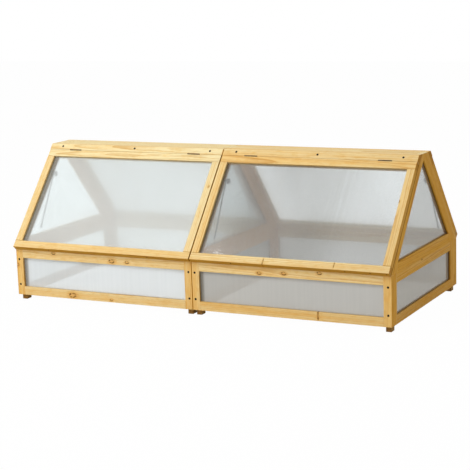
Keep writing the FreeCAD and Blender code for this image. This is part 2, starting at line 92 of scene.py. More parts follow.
def grooved(points, work, edge, low, high, depth=GROOVE_DEEP):
    """Splits one edge at two distances along it and works the part between them that deep.

    Each point of the split stands there twice, so that the worked part ends square.
    """
    way = headings(points)[edge]
    splits = points[edge] + np.array([low, low, high, high])[:, None] * way
    worked = np.insert(work, edge + 1, [0, depth, 0, 0])
    return np.insert(points, edge + 1, splits, axis=0), worked


def softened(points, work, corners):
    """Rounds chosen corners: each is four points of (1-t)^2 A + 2t(1-t) P + t^2 C, where A and C
    lie a radius before and after the corner P."""
    way = headings(points)
    count = np.where(np.isin(np.arange(len(points)), corners), 4, 1)
    which = np.repeat(np.arange(len(points)), count)
    step = np.arange(len(which)) - np.repeat(np.cumsum(count) - count, count)
    t = (step / 3.0)[:, None]
    enters = points[which] - np.roll(way, 1, axis=0)[which] * POST_ROUND
    leaves = points[which] + way[which] * POST_ROUND
    curve = (1 - t) ** 2 * enters + 2 * t * (1 - t) * points[which] + t ** 2 * leaves
    soft = np.isin(which, corners)
    worked = np.where(soft & (step < 3), 0, work[which])
    return np.where(soft[:, None], curve, points[which]), worked


def bands(rings, sides):
    """Corner numbers of the four-sided faces between closed rings that follow one another."""
    row, column = np.meshgrid(np.arange(rings - 1), np.arange(sides), indexing="ij")
    after = (column + 1) % sides
    return np.stack([row * sides + column, (row + 1) * sides + column,
                     (row + 1) * sides + after, row * sides + after], axis=-1).reshape(-1, 4)


def batten(points, work, origin, u, v, thick=THICK, along=None, through=None, knots=(),
           pale=None, painted_shading=0.0, painted_edge_shading=0.0):
    """One batten: its outline drawn in the u, v plane and made solid by its thickness.

    Rings of the outline lie one below the other. Near a face they draw in by r(1 - sin a) at the
    depth r(1 - cos a), a quarter circle. The two middle ones follow the groove's bottom, a
    recess draws in to its circle, and a slanted edge grows with depth. The grain's own
    coordinates run along, across and through the batten, measured from the heart of the tree it
    was cut from. Painted shade darkens the wood where shade falls: one number says how far on
    the faces beside the sheet, and another, with a number for each edge, how far on edges; a
    negative number on an edge paints a highlight instead.
    """
    n = np.cross(u, v)
    quarter = np.radians([0, 30, 60, 90])
    fall = ARRIS * (1 - np.cos(quarter))
    draw = ARRIS * (1 - np.sin(quarter))
    lips = thick / 2 + np.array([-1, -1, 1, 1]) * GROOVE_WIDE / 2
    recess = RECESS_RINGS if RECESS in work else [lips[0] - BESIDE_SHEET]
    depth = np.concatenate([fall, recess, lips, thick - fall[::-1]])
    plain = np.concatenate([draw, np.zeros(len(recess) + 4), draw[::-1]])
    first_lip = len(fall) + len(recess)
    in_groove = np.zeros(len(depth))
    in_groove[first_lip + 1:][:2] = 1
    circle = np.sqrt(np.maximum(RECESS_RADIUS ** 2 - (depth + RECESS_PROUD) ** 2,
                                RECESS_SIDE ** 2))
    moved = plain[:, None] + in_groove[:, None] * np.maximum(work, 0)
    moved = np.where(work == RECESS, np.maximum(moved, circle[:, None] - RECESS_SIDE), moved)
    moved = np.where(work == SLANTED, moved - depth[:, None] / math.tan(SLOPE), moved)
    flat = crossings(points, moved)
    height = (thick / 2 - depth)[:, None, None] * n
    corners = (origin + flat[..., :1] * u + flat[..., 1:] * v + height).reshape(-1, 3)

    rings, sides = len(depth), len(points)
    faces = bands(rings, sides).tolist()
    faces.append(list(range(sides)))
    faces.append(list(range(rings * sides - 1, (rings - 1) * sides - 1, -1)))

    along = u if along is None else along
    through = n if through is None else through
    axes = np.stack([along, np.cross(through, along), through])
    middle = (corners.min(axis=0) + corners.max(axis=0)) / 2
    turn, reach = log.uniform(0, 2 * math.pi), log.uniform(0.03, 0.075)
    heart = np.array([log.uniform(0, 5), reach * math.cos(turn), reach * math.sin(turn)])
    lean = np.array([[1, 0, 0], [log.normal(0, 0.012), 1, 0], [log.normal(0, 0.012), 0, 1]])

    def in_tree(places):
        """Places from the batten's middle, turned to its grain, leaned, and set off the heart."""
        return (places - middle) @ axes.T @ lean.T + heart

    spots = [(*in_tree(np.array(knot[:3]))[:2], knot[3]) for knot in knots]
    spots = (spots + [NO_KNOT] * 3)[:3]
    pale = log.normal(0.3, 0.1) if pale is None else pale
    # Painted shade on the faces beside the sheet, then the painted shading of the edges.
    beside = np.zeros(rings - 1)
    beside[first_lip - 1:][:4] = painted_shading
    painted_shading = np.append(np.outer(beside, work > 0) + painted_edge_shading, [0.0, 0.0])
    return dict(corners=corners, faces=faces, grain=in_tree(corners), spots=spots, pale=pale,
                along=along, painted_shading=painted_shading)


def settled(name, mesh, material, sharp, body):
    """A mesh as a piece of the greenhouse: smooth up to a sharp angle, on its body."""
    mesh.shade_smooth()
    mesh.set_sharp_from_angle(angle=math.radians(sharp))
    mesh.materials.append(material)
    piece = bpy.data.objects.new(name, mesh)
    bpy.context.scene.collection.objects.link(piece)
    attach(piece, body)
    return piece


def joinery(name, battens, body, material):
    """One piece from its battens: equal corners merged, ends marked, edges softly lit."""
    counts = [len(b["corners"]) for b in battens]
    starts = np.cumsum([0] + counts)
    mesh = bpy.data.meshes.new(name)
    faces = [[corner + start for corner in face]
             for b, start in zip(battens, starts) for face in b["faces"]]
    mesh.from_pydata(np.concatenate([b["corners"] for b in battens]), [], faces)

    def keep(label, kind, values, domain="POINT"):
        """Stores one number or vector for each corner or each face."""
        field = "vector" if kind == "FLOAT_VECTOR" else "value"
        flat = np.ravel(values).astype(np.float32)
        mesh.attributes.new(label, kind, domain).data.foreach_set(field, flat)

    keep("grain", "FLOAT_VECTOR", np.concatenate([b["grain"] for b in battens]))
    keep("pale", "FLOAT", np.repeat([b["pale"] for b in battens], counts))
    for number in range(3):
        keep(f"knot_{number}", "FLOAT_VECTOR",
             np.repeat([b["spots"][number] for b in battens], counts, axis=0))
    keep("painted_shading", "FLOAT", np.concatenate([b["painted_shading"] for b in battens]), "FACE")
    keep("way", "FLOAT_VECTOR", np.repeat([b["along"] for b in battens], counts, axis=0))
    shell = bmesh.new()
    shell.from_mesh(mesh)
    bmesh.ops.remove_doubles(shell, verts=shell.verts, dist=2e-6)
    bmesh.ops.dissolve_degenerate(shell, edges=shell.edges, dist=2e-6)
    shell.to_mesh(mesh)
    shell.free()
    ways = np.empty(3 * len(mesh.vertices), np.float32)
    mesh.attributes["way"].data.foreach_get("vector", ways)
    first = np.array([polygon.vertices[0] for polygon in mesh.polygons])
    normals = np.array([polygon.normal for polygon in mesh.polygons])
    facing = np.abs(np.sum(normals * ways.reshape(-1, 3)[first], axis=1))
    keep("end_grain", "FLOAT", facing > 0.9, "FACE")
    mesh.attributes.remove(mesh.attributes["way"])
    piece = settled(name, mesh, material, 40, body)
    piece.modifiers.new("soft_edges", "WEIGHTED_NORMAL").keep_sharp = True
    return piece


def put(tree, kind, *inputs, **settings):
    """One node of a finish. Its inputs are numbers or other nodes' outputs, in its own order."""
    node = tree.nodes.new("ShaderNode" + kind)
    for key, setting in settings.items():
        setattr(node, key, setting)
    for socket, given in zip(node.inputs, inputs):
        if isinstance(given, bpy.types.NodeSocket):
            tree.links.new(given, socket)
        elif given is not None:
            socket.default_value = given
    return node


def calc(tree, operation, *inputs):
    """The result of one sum on numbers."""
    return put(tree, "Math", *inputs, operation=operation).outputs[0]


def move(tree, operation, *inputs):
    """The result of one sum on vectors."""
    outputs = put(tree, "VectorMath", *inputs, operation=operation).outputs
    return outputs["Value"] if operation in ("LENGTH", "DOT_PRODUCT") else outputs["Vector"]


def spread(tree, value, low, high, start=0.0, end=1.0):
    """The value's place between low and high, eased at both ends, as a number from start to end."""
    return put(tree, "MapRange", value, low, high, start, end,
               interpolation_type="SMOOTHSTEP").outputs[0]


def tint(tree, factor, first, second, how="MIX"):
    """Two colours mixed by a factor."""
    node = put(tree, "Mix", data_type="RGBA", blend_type=how)
    for number, given in ((0, factor), (6, first), (7, second)):
        if isinstance(given, bpy.types.NodeSocket):
            tree.links.new(given, node.inputs[number])
        else:
            node.inputs[number].default_value = (given if isinstance(given, float)
                                                 else (*given, 1.0))
    return node.outputs[2]


def cloudy(tree, place, stretch, detail=2.0):
    """Noise from 0 to 1 whose cells are stretched as 1/stretch along each axis."""
    place = move(tree, "MULTIPLY", place, stretch)
    return put(tree, "TexNoise", place, None, 1.0, detail, 0.55).outputs[0]


def new_finish(name):
    """An empty finish with its Principled shader."""
    material = bpy.data.materials.new(name)
    material.use_nodes = True
    tree = material.node_tree
    return material, tree, tree.nodes["Principled BSDF"]


def roughened(tree, shader, height, strength, distance):
    """A fine relief on a finish, from a height between 0 and 1."""
    bump = put(tree, "Bump", strength, distance)
    tree.links.new(height, bump.inputs["Height"])
    tree.links.new(bump.outputs[0], shader.inputs["Normal"])


RING_WIDE = 0.0042
DEEPENED = 6.0
LATE_WOOD, BLOTCH, END_GRAIN = (0.76, 0.58, 0.38), (0.93, 0.78, 0.52), (0.62, 0.5, 0.42)
KNOT_HALO, KNOT_HEART, BARK = (0.88, 0.66, 0.36), (0.74, 0.42, 0.13), (0.11, 0.045, 0.012)
# Colour that painted shade darkens the wood towards.
PAINTED_SHADE_COLOUR = (0.20, 0.16, 0.10)


def timber_finish(name, deep, straw, roughness):
    """Planed softwood between a deep and a straw colour. Rings are the distance from the tree's
    heart, bent by stretched noise and led round the knots, divided by the ring's width; each ring
    darkens slowly and ends sharply. A knot of negative size is a spike: narrow along the grain,
    long across. Where shade is painted on the wood, its straw colour goes first and it is
    multiplied towards a dark brown; a negative amount makes it paler, a painted highlight."""
    material, tree, shader = new_finish(name)
    grain = put(tree, "Attribute", attribute_name="grain").outputs["Vector"]
    knot, bark, halo = 0.0, 0.0, 0.0
    for number in range(3):
        spot = put(tree, "Attribute", attribute_name=f"knot_{number}").outputs["Vector"]
        size = put(tree, "SeparateXYZ", spot).outputs[2]
        spike = calc(tree, "LESS_THAN", size, 0.0)
        squeeze = put(tree, "CombineXYZ", spread(tree, spike, 0.0, 1.0, 0.6, 2.6),
                      spread(tree, spike, 0.0, 1.0, 1.0, 0.5), 0.0).outputs[0]
        away = move(tree, "MULTIPLY", move(tree, "SUBTRACT", grain, spot), squeeze)
        ratio = calc(tree, "DIVIDE", move(tree, "LENGTH", away), calc(tree, "ABSOLUTE", size))
        near = spread(tree, ratio, 0.6, 3.2, 0.85, 0.0)
        aside = move(tree, "MULTIPLY", away, (0.0, 1.0, 0.0))
        led = put(tree, "VectorMath", aside, None, None, near, operation="SCALE")
        grain = move(tree, "SUBTRACT", grain, led.outputs["Vector"])
        wobble = cloudy(tree, away, (160.0, 160.0, 160.0))
        edge = calc(tree, "ADD", ratio, calc(tree, "MULTIPLY", wobble, 0.5))
        knot = calc(tree, "MAXIMUM", knot, spread(tree, edge, 1.0, 1.3, 1.0, 0.0))
        off_rim = calc(tree, "ABSOLUTE", calc(tree, "SUBTRACT", edge, 1.1))
        rim = spread(tree, off_rim, 0.05, 0.42, 1.0, 0.0)
        broken = spread(tree, cloudy(tree, away, (110.0, 110.0, 110.0)), 0.42, 0.58, 0.1, 1.0)
        broken = calc(tree, "MAXIMUM", broken, spike)
        bark = calc(tree, "MAXIMUM", bark, calc(tree, "MULTIPLY", rim, broken))
        halo = calc(tree, "MAXIMUM", halo, spread(tree, edge, 1.2, 2.6, 1.0, 0.0))
    bend = calc(tree, "MULTIPLY", cloudy(tree, grain, (2.2, 16.0, 16.0)), 0.012)
    ripple = calc(tree, "MULTIPLY", cloudy(tree, grain, (14.0, 160.0, 160.0)), 0.0012)
    parts = put(tree, "SeparateXYZ", grain).outputs
    out = move(tree, "LENGTH", put(tree, "CombineXYZ", 0.0, parts[1], parts[2]).outputs[0])
    out = calc(tree, "ADD", calc(tree, "ADD", out, bend), ripple)
    rings = calc(tree, "DIVIDE", out, RING_WIDE)
    year = calc(tree, "FLOOR", rings)
    within = calc(tree, "FRACT", rings)
    dark = calc(tree, "MULTIPLY", spread(tree, within, 0.35, 0.93),
                spread(tree, within, 0.96, 1.0, 1.0, 0.0))
    harsh = put(tree, "TexWhiteNoise", None, year, noise_dimensions="1D").outputs[0]
    dark = calc(tree, "MULTIPLY", dark, spread(tree, harsh, 0.0, 1.0, 0.3, 1.0))
    streak = cloudy(tree, grain, (1.6, 55.0, 55.0), 3.0)
    blotch = cloudy(tree, grain, (26.0, 75.0, 75.0), 3.0)
    fibre = cloudy(tree, grain, (45.0, 1500.0, 1500.0))

    # Painted shade on reveals and edges, and a painted highlight where it is negative.
    painted_shading = put(tree, "Attribute", attribute_name="painted_shading").outputs["Fac"]
    pale = put(tree, "Attribute", attribute_name="pale").outputs["Fac"]
    pale = calc(tree, "SUBTRACT", pale, calc(tree, "MULTIPLY", painted_shading, DEEPENED))
    pale = calc(tree, "ADD", pale, spread(tree, streak, 0.3, 0.7, 0.14, -0.14))
    colour = tint(tree, pale, deep, straw)
    colour = tint(tree, calc(tree, "MULTIPLY", dark, 0.85), colour, LATE_WOOD, "MULTIPLY")
    blotched = spread(tree, blotch, 0.45, 0.72, 0.0, 0.55)
    colour = tint(tree, blotched, colour, BLOTCH, "MULTIPLY")
    shade = spread(tree, fibre, 0.3, 0.7, 0.94, 1.04)
    shade = put(tree, "CombineXYZ", shade, shade, shade).outputs[0]
    colour = tint(tree, 1.0, colour, shade, "MULTIPLY")
    colour = tint(tree, calc(tree, "MULTIPLY", halo, 0.6), colour, KNOT_HALO, "MULTIPLY")
    colour = tint(tree, calc(tree, "MULTIPLY", knot, 0.65), colour, KNOT_HEART)
    colour = tint(tree, calc(tree, "MULTIPLY", bark, 0.95), colour, BARK)
    ends = put(tree, "Attribute", attribute_name="end_grain").outputs["Fac"]
    colour = tint(tree, calc(tree, "MULTIPLY", ends, 0.6), colour, END_GRAIN, "MULTIPLY")
    colour = tint(tree, painted_shading, colour, PAINTED_SHADE_COLOUR, "MULTIPLY")
    tree.links.new(colour, shader.inputs["Base Color"])
    dull = calc(tree, "ADD", fibre, calc(tree, "MULTIPLY", dark, -0.4))
    tree.links.new(spread(tree, dull, 0.0, 1.0, roughness - 0.07, roughness + 0.09),
                   shader.inputs["Roughness"])
    relief = calc(tree, "ADD", calc(tree, "MULTIPLY", dark, 0.5),
                  calc(tree, "MULTIPLY", fibre, 0.6))
    roughened(tree, shader, relief, 0.35, 0.0002)
    shader.inputs["IOR"].default_value = 1.45
    shader.inputs["Specular IOR Level"].default_value = 0.05
    return material


timber = timber_finish("planed_pine", (0.83, 0.455, 0.07), (0.925, 0.79, 0.46), 0.58)


def mirrored(points, work):
    """The same outline on the other side of the v axis, run round in the same sense."""
    return points[::-1] * (-1, 1), np.roll(work[::-1], -1)


def rectangle(u_low, u_high, v_low, v_high):
    """Corners of a rectangle from its lower left one, with no edge worked."""
    corners = [(u_low, v_low), (u_high, v_low), (u_high, v_high), (u_low, v_high)]
    return np.array(corners), np.zeros(4)


def upright(low, high):
    """A batten as high as the box, grooved on its right edge beside the opening, its left
    corners rounded."""
    points, work = rectangle(low, high, BOX_LOW, BOX_HIGH)
    points, work = grooved(points, work, 1, OPENING_LOW - GROOVE_DEEP - BOX_LOW,
                           OPENING_HIGH + GROOVE_DEEP - BOX_LOW)
    return softened(points, work, [0, len(points) - 1])


SEAM = 0.0030
POST_KNOTS = {("left", "front", 0): [(-0.8932, -0.41, 0.1616, 0.0050)]}
POST_PALE = {("left", "front"): (0.28, 0.36), ("right", "front"): (0.42, 0.36)}
# Painted shade on each post's outer side edge.
BACK_POST_PALE, POST_SIDE_SHADE = (0.3, 0.3), 0.08
for module, centre in MODULES.items():
    for side, face in FACES.items():
        left = upright(-HALF_WIDE + SEAM / 2 * (module == "right"), POST_WIDE - HALF_WIDE)
        right = upright(-HALF_WIDE + SEAM / 2 * (module == "left"), POST_WIDE - HALF_WIDE)
        pair = []
        for hand, (points, work) in enumerate((left, mirrored(*right))):
            painted_edge_shading = np.append(np.zeros(len(points) - 1), POST_SIDE_SHADE)
            pair.append(batten(points, work, centre * X + face * Y, X, Z, along=Z, through=-Y,
                               knots=POST_KNOTS.get((module, side, hand), ()), painted_edge_shading=painted_edge_shading,
                               pale=POST_PALE.get((module, side), BACK_POST_PALE)[hand]))
        posts = joinery(f"{module}_{side}_corner_posts", pair, "frame", timber)
        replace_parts(posts, f"{module}_box_{side}_posts")

# Box rails between the posts, front and back: pine, 38 mm below and 40 mm above the opening, with
# the sheet's groove along the edge that faces it. They are dowelled and glued to the posts.
RAIL_KNOTS = {
    ("left", "front", "top"): [(-0.6987, -0.41, 0.2252, 0.0060),
                               (-0.3958, -0.41, 0.2087, 0.0085),
                               (-0.3181, -0.41, 0.2089, 0.0062)],
    ("left", "front", "bottom"): [(-0.6080, -0.41, 0.0400, 0.0105),
                                  (-0.4058, -0.41, 0.0349, 0.0044)],
    ("right", "front", "top"): [(0.3186, -0.41, 0.2058, 0.0060),
                                (0.4308, -0.41, 0.2119, 0.0066),
                                (0.5898, -0.41, 0.2243, 0.0066)],
    ("right", "front", "bottom"): [(0.5803, -0.41, 0.0468, -0.0085)],
    ("left", "back", "top"): [(-0.52, 0.41, 0.215, 0.007)],
    ("right", "back", "bottom"): [(0.33, 0.41, 0.046, 0.009)],
}
# Front rails are paler than the default, a painted sheen of the lamp on the lit front, and the back
# rails paler still, which paints light into their shaded inner faces.
RAIL_PALE = {("left", "front", "top"): 0.64, ("left", "front", "bottom"): 0.62,
             ("right", "front", "top"): 0.62, ("right", "front", "bottom"): 0.44}
BACK_RAIL_PALE = 0.9


def cross_rails(low, high):
    """Outlines of the lower rail, grooved along its top edge, and the upper one, grooved below."""
    points, work = rectangle(low, high, BOX_LOW, OPENING_LOW)
    work[2] = GROOVE_DEEP
    lower = points, work
    points, work = rectangle(low, high, OPENING_HIGH, BOX_HIGH)
    work[0] = GROOVE_DEEP
    return {"bottom": lower, "top": (points, work)}


for module, centre in MODULES.items():
    for side, face in FACES.items():
        outlines = cross_rails(POST_WIDE - HALF_WIDE, HALF_WIDE - POST_WIDE)
        pair = [batten(*outline, centre * X + face * Y, X, Z, through=-Y,
                       knots=RAIL_KNOTS.get((module, side, level), ()),
                       pale=RAIL_PALE.get((module, side, level), BACK_RAIL_PALE))
                for level, outline in outlines.items()]
        rails = joinery(f"{module}_{side}_box_rails", pair, "frame", timber)
        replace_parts(rails, f"{module}_box_{side}_rails")

# Box sides: grooved stock on edge between front and back, with a 35 mm stile at the front and a
# 58 mm one at the rear. Their timber takes the deep colour and painted shade beside the sheet,
# both standing for shade on the sides. Their sheet is as thick as the front one and its flutes
# stand upright too.
SIDES_AT = (THICK / 2 - HALF_WIDE, HALF_WIDE - THICK / 2)
SIDE_REACH, REAR_WIDE = HALF_DEEP - THICK, 0.058
SIDE_KNOT = (0.9, -0.0484, 0.2306, 0.0045)
# Painted shade on the sides: the deep colour and darkening beside the sheet.
STILE_TONE, SIDE_RAIL_TONE = dict(pale=0.05, painted_shading=0.8), dict(pale=0.1, painted_shading=0.6)
for module, centre in MODULES.items():
    stiles, rails = [], []
    for reach in SIDES_AT:
        origin = (centre + reach) * X
        front = upright(-SIDE_REACH, POST_WIDE - SIDE_REACH)
        rear = mirrored(*upright(-SIDE_REACH, REAR_WIDE - SIDE_REACH))
        stiles += [batten(*outline, origin, Y, Z, along=Z, **STILE_TONE)
                   for outline in (front, rear)]
        knots = {"top": [SIDE_KNOT]} if module == "right" and reach > 0 else {}
        for level, outline in cross_rails(POST_WIDE - SIDE_REACH,
                                          SIDE_REACH - REAR_WIDE).items():
            rails.append(batten(*outline, origin, Y, Z, knots=knots.get(level, ()),
                                **SIDE_RAIL_TONE))
    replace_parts(joinery(f"{module}_side_stiles", stiles, "frame", timber),
                f"{module}_box_side_stiles")
    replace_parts(joinery(f"{module}_side_rails", rails, "frame", timber),
                f"{module}_box_side_rails")

# Sheets of the box, the gables and the lids: opal twin-wall plastic, 4 mm thick, slid into the
# grooves. Upright ribs join its two skins every 4 mm. It lets light through and blurs what is
# behind it.
RIB_PITCH = 0.004
WHITE, COOL_WHITE, CLEAR_WHITE = (0.93, 0.985, 1.0), (0.89, 0.94, 0.97), (0.96, 0.99, 1.0)
# Greyer colours that paint shade on the right module's sheets.
GREY, PEARL = (0.80, 0.82, 0.82), (0.71, 0.73, 0.72)
SMOKY, SHADY = (0.66, 0.66, 0.64), (0.56, 0.54, 0.48)
# The last colour here paints the shade where a leg stands close behind a sheet.
FLUTE_STREAK, CLOUD, PAINTED_LEG_SHADE = (0.94, 0.945, 0.95), (0.95, 0.95, 0.94), (0.50, 0.48, 0.44)
# Places along the width, in metres, where a sheet turns to its second colour, which paints light
# on the right module's lids and shade on its outer side and gable.
PAINTED_LIGHT_SHADE_AT_END, PAINTED_LIGHT_SHADE_BY_SEAM = (0.62, 0.84), (0.030, 0.035, 0.08, 0.22)
NO_PAINTED_SHADE_EDGE = -9.0


def between(tree, value, rises, risen, falls, fallen):
    """1 where the value lies between risen and falls, eased to 0 at rises and at fallen."""
    return calc(tree, "MULTIPLY", spread(tree, value, falls, fallen, 1.0, 0.0),
                spread(tree, value, rises, risen))


def sheet_finish(name, axis, dull, bright, clarity, blur, passed, painted_shade_edge=NO_PAINTED_SHADE_EDGE):
    """Opal plastic with ribs: a rib stands where the coordinate across the flutes, divided by the
    pitch, is near a whole number, and takes up a share of the pitch. Ribs scatter what is far
    behind the sheet, the flutes between them stay clear. Flutes differ a little in whiteness, and
    a sheet goes from its dull colour to its bright one at its far end and beside the seam: painted
    light on the right module's lids, and painted shade on its outer side and gable, where the
    bright colour is the darker. It has painted shade along an edge where a leg stands close behind
    it. Rays to the lamps and diffuse rays pass it straight, weakened."""
    material, tree, shader = new_finish(name)
    place = put(tree, "TexCoord").outputs["Object"]
    x, y = put(tree, "SeparateXYZ", place).outputs[:2]
    across = (x, y)[axis]
    phase = calc(tree, "FRACT", calc(tree, "DIVIDE", across, RIB_PITCH))
    off_middle = calc(tree, "ABSOLUTE", calc(tree, "SUBTRACT", phase, 0.5))
    rib = spread(tree, off_middle, 0.34, 0.42)
    cloud = cloudy(tree, place, (3.0, 3.0, 3.0))
    flute = put(tree, "TexNoise", None, calc(tree, "MULTIPLY", across, 70.0), 1.0, 2.0, 0.5,
                noise_dimensions="1D").outputs[0]
    # Painted light and shade by place: the sheet turns to its second colour at its far end and
    # beside the seam.
    uneven = calc(tree, "ADD", x, calc(tree, "MULTIPLY", flute, 0.25))
    light = calc(tree, "MAXIMUM", spread(tree, uneven, *PAINTED_LIGHT_SHADE_AT_END),
                 between(tree, x, *PAINTED_LIGHT_SHADE_BY_SEAM))
    colour = tint(tree, light, dull, bright)
    streak = spread(tree, flute, 0.35, 0.65, 0.0, 0.4)
    colour = tint(tree, streak, colour, FLUTE_STREAK, "MULTIPLY")
    colour = tint(tree, spread(tree, cloud, 0.3, 0.7, 0.0, 0.6), colour, CLOUD, "MULTIPLY")
    # Painted shade along the edge where a leg stands close behind the sheet.
    painted_leg_shade = between(tree, x, painted_shade_edge - 0.01, painted_shade_edge - 0.005, painted_shade_edge + 0.018, painted_shade_edge + 0.032)
    colour = tint(tree, painted_leg_shade, colour, PAINTED_LEG_SHADE, "MULTIPLY")
    tree.links.new(colour, shader.inputs["Base Color"])
    tree.links.new(spread(tree, rib, 0.0, 1.0, 0.05, blur), shader.inputs["Roughness"])
    shader.inputs["Transmission Weight"].default_value = clarity
    shader.inputs["IOR"].default_value = 1.38
    path = put(tree, "LightPath").outputs
    surface = shader.outputs[0]
    for ray in ("Is Shadow Ray", "Is Diffuse Ray"):
        clear = put(tree, "BsdfTransparent", (passed, passed, passed, 1.0)).outputs[0]
        surface = put(tree, "MixShader", path[ray], surface, clear).outputs[0]
    tree.links.new(surface, tree.nodes["Material Output"].inputs["Surface"])
    return material


def refinish(node, material):
    """Gives a solid of the construction that stays as it is a new finish in all its slots."""
    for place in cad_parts[node].material_slots:
        place.material = material


# For each sheet: the axis across its flutes (0 is x, 1 is y), its dull and its bright colour, its
# clarity, the blur at its ribs, the share of light it passes, and where it has an edge of painted
# shade. The right module's sheets take greyer colours than the left's: painted shade on the same
# plastic.
SHEETS = {
    ("lid", "left"): (0, WHITE, WHITE, 0.66, 0.28, 0.75, -0.865),
    ("lid", "right"): (0, GREY, CLEAR_WHITE, 0.88, 0.28, 0.68, 0.025),
    ("rear", "left"): (0, WHITE, WHITE, 0.66, 0.28, 0.75),
    ("rear", "right"): (0, GREY, CLEAR_WHITE, 0.88, 0.28, 0.68),
    ("box", "left"): (0, COOL_WHITE, COOL_WHITE, 0.45, 0.14, 0.6, -0.873),
    ("box", "right"): (0, SMOKY, SMOKY, 0.35, 0.14, 0.4, 0.027),
    ("back", "right"): (0, GREY, GREY, 0.55, 0.2, 0.5),
    ("side", "left"): (1, WHITE, WHITE, 0.85, 0.2, 0.3),
    ("side", "right"): (1, WHITE, SHADY, 0.4, 0.2, 0.5),
    ("gable", "left"): (1, WHITE, WHITE, 0.98, 0.2, 0.75),
    ("gable", "right"): (1, WHITE, PEARL, 0.86, 0.3, 0.65),
}
opal = {(part, module): sheet_finish(f"fluted_{part}_sheet_{module}", *values)
        for (part, module), values in SHEETS.items()}
opal["back", "left"] = opal["rear", "left"]
for module in MODULES:
    refinish(f"{module}_box_front_sheet", opal["box", module])
    refinish(f"{module}_box_back_sheet", opal["back", module])
    refinish(f"{module}_box_side_sheets", opal["side", module])
    refinish(f"{module}_gable_sheets", opal["gable", module])

# Gables: two legs that follow the roof's slope and meet in an upright mitre under the ridge, and
# a rail between their feet. The rear leg is 58 mm wide, the front one 34 mm; both are grooved for
# the sheet. Their timber takes the deep colour that paints shade on the gables; the tops of the
# legs carry a painted highlight and the edges under the lids painted shade.
RAIL_TOP, FRONT_LEG_WIDE, CORNER_DEEP = 0.274, 0.034, 0.017
FRONT_IN, REAR_IN = LEG_FACE + FRONT_LEG_WIDE, LEG_FACE + REAR_WIDE
# Painted highlight on the legs' top edges and painted shade on their edges under the lids.
PAINTED_TOP_LIGHT, UNDER_LID_SHADE = -0.3, 0.5
LEG_EDGE_SHADING = np.array([0, 0, 0, 0, 0, 0, PAINTED_TOP_LIGHT, UNDER_LID_SHADE, 0])
# Painted shade on the gables: deep tones, and darkening beside the sheet on the rear legs and
# rails.
FRONT_LEG_TONE = dict(pale=0.05, painted_edge_shading=LEG_EDGE_SHADING)
REAR_LEG_TONE = dict(pale=0.0, painted_shading=0.7, painted_edge_shading=np.roll(LEG_EDGE_SHADING[::-1], -1))
GABLE_RAIL_TONE = dict(pale=0.0, painted_shading=0.4)
GABLE_KNOT = (0.9, 0.1952, 0.4839, 0.0042)


def slope_y(inward, height):
    """Y, at a height, of the line that runs a distance inward of the front slope's face."""
    return -RIDGE_HALF + inward / math.sin(SLOPE) - (RIDGE_TOP - height) / math.tan(SLOPE)


apex_y = (FRONT_IN - REAR_IN) / (2 * math.sin(SLOPE))
apex_down = ((FRONT_IN + REAR_IN) / (2 * math.sin(SLOPE)) - RIDGE_HALF) * math.tan(SLOPE)


def leg(foot, apex, top):
    """Outline of the front leg of a gable: foot, upright joint to the rail, slope to the apex,
    mitre. Its groove is deeper where the rail's groove runs into it."""
    points = np.array([
        (-HALF_DEEP, BOX_HIGH), (foot, BOX_HIGH), (foot, RAIL_TOP - GROOVE_DEEP),
        (foot, RAIL_TOP - GROOVE_DEEP), (foot, RAIL_TOP), (apex, RIDGE_TOP - apex_down),
        (apex, RIDGE_TOP), (top, RIDGE_TOP), (-HALF_DEEP, LEG_TOE)])
    return points, np.array([0, 0, 0, CORNER_DEEP, GROOVE_DEEP, 0, 0, 0, 0])


front_foot, rear_foot = slope_y(FRONT_IN, RAIL_TOP), -slope_y(REAR_IN, RAIL_TOP)
leg_top = slope_y(LEG_FACE, RIDGE_TOP)
lean_way = np.array([0, math.cos(SLOPE), math.sin(SLOPE)])
for module, centre in MODULES.items():
    legs, rails = {"front": [], "rear": []}, []
    for reach in SIDES_AT:
        origin = (centre + reach) * X
        front = leg(front_foot, apex_y, leg_top)
        legs["front"].append(batten(*front, origin, Y, Z, along=lean_way, **FRONT_LEG_TONE))
        rear = mirrored(*leg(-rear_foot, -apex_y, leg_top))
        knots = [GABLE_KNOT] if module == "right" and reach > 0 else ()
        legs["rear"].append(batten(*rear, origin, Y, Z, along=lean_way * (1, -1, 1),
                                   knots=knots, **REAR_LEG_TONE))
        points, work = rectangle(front_foot, rear_foot, BOX_HIGH, RAIL_TOP)
        work[2] = GROOVE_DEEP
        rails.append(batten(points, work, origin, Y, Z, **GABLE_RAIL_TONE))
    for side in legs:
        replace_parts(joinery(f"{module}_{side}_legs", legs[side], "frame", timber),
                    f"{module}_gable_{side}_legs")
    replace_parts(joinery(f"{module}_gable_cross_rails", rails, "frame", timber),
                f"{module}_gable_rails")

# Ridge: a beam between the gables and, on each slope, a fixed strip in the roof's plane that the
# lid hangs from. The strip's top is planed level with the beam, and its lower edge has the hinge
# recesses.
BEAM_DEEP, BEAM_LONG, STRIP_WIDE = 0.038, 0.85, 0.0308
HINGE_AT, HINGE_HALF = 0.309, 0.0308
# Painted light: the beam and strips are paler than the other battens, for their tops and slopes lit
# from above, and paler on the left than on the right, for the lamp on the left. Their ends carry
# painted shade.
BEAM_PALE, STRIP_PALE = {"left": 0.98, "right": 0.8}, {"left": 0.9, "right": 0.62}
STRIP_END_SHADE = 0.15


def slope_frame(centre, side):
    """Origin at the ridge's edge, u along the width, v up the slope and the outward normal n."""
    turn = 1 if side == "front" else -1
    u, v = turn * X, np.array([0, turn * math.cos(SLOPE), math.sin(SLOPE)])
    return centre * X - turn * RIDGE_HALF * Y + RIDGE_TOP * Z, u, v, np.cross(u, v)


def seam_last(module, side):
    """Whether u on this slope runs towards the seam between the modules."""
    return (module == "left") == (side == "front")


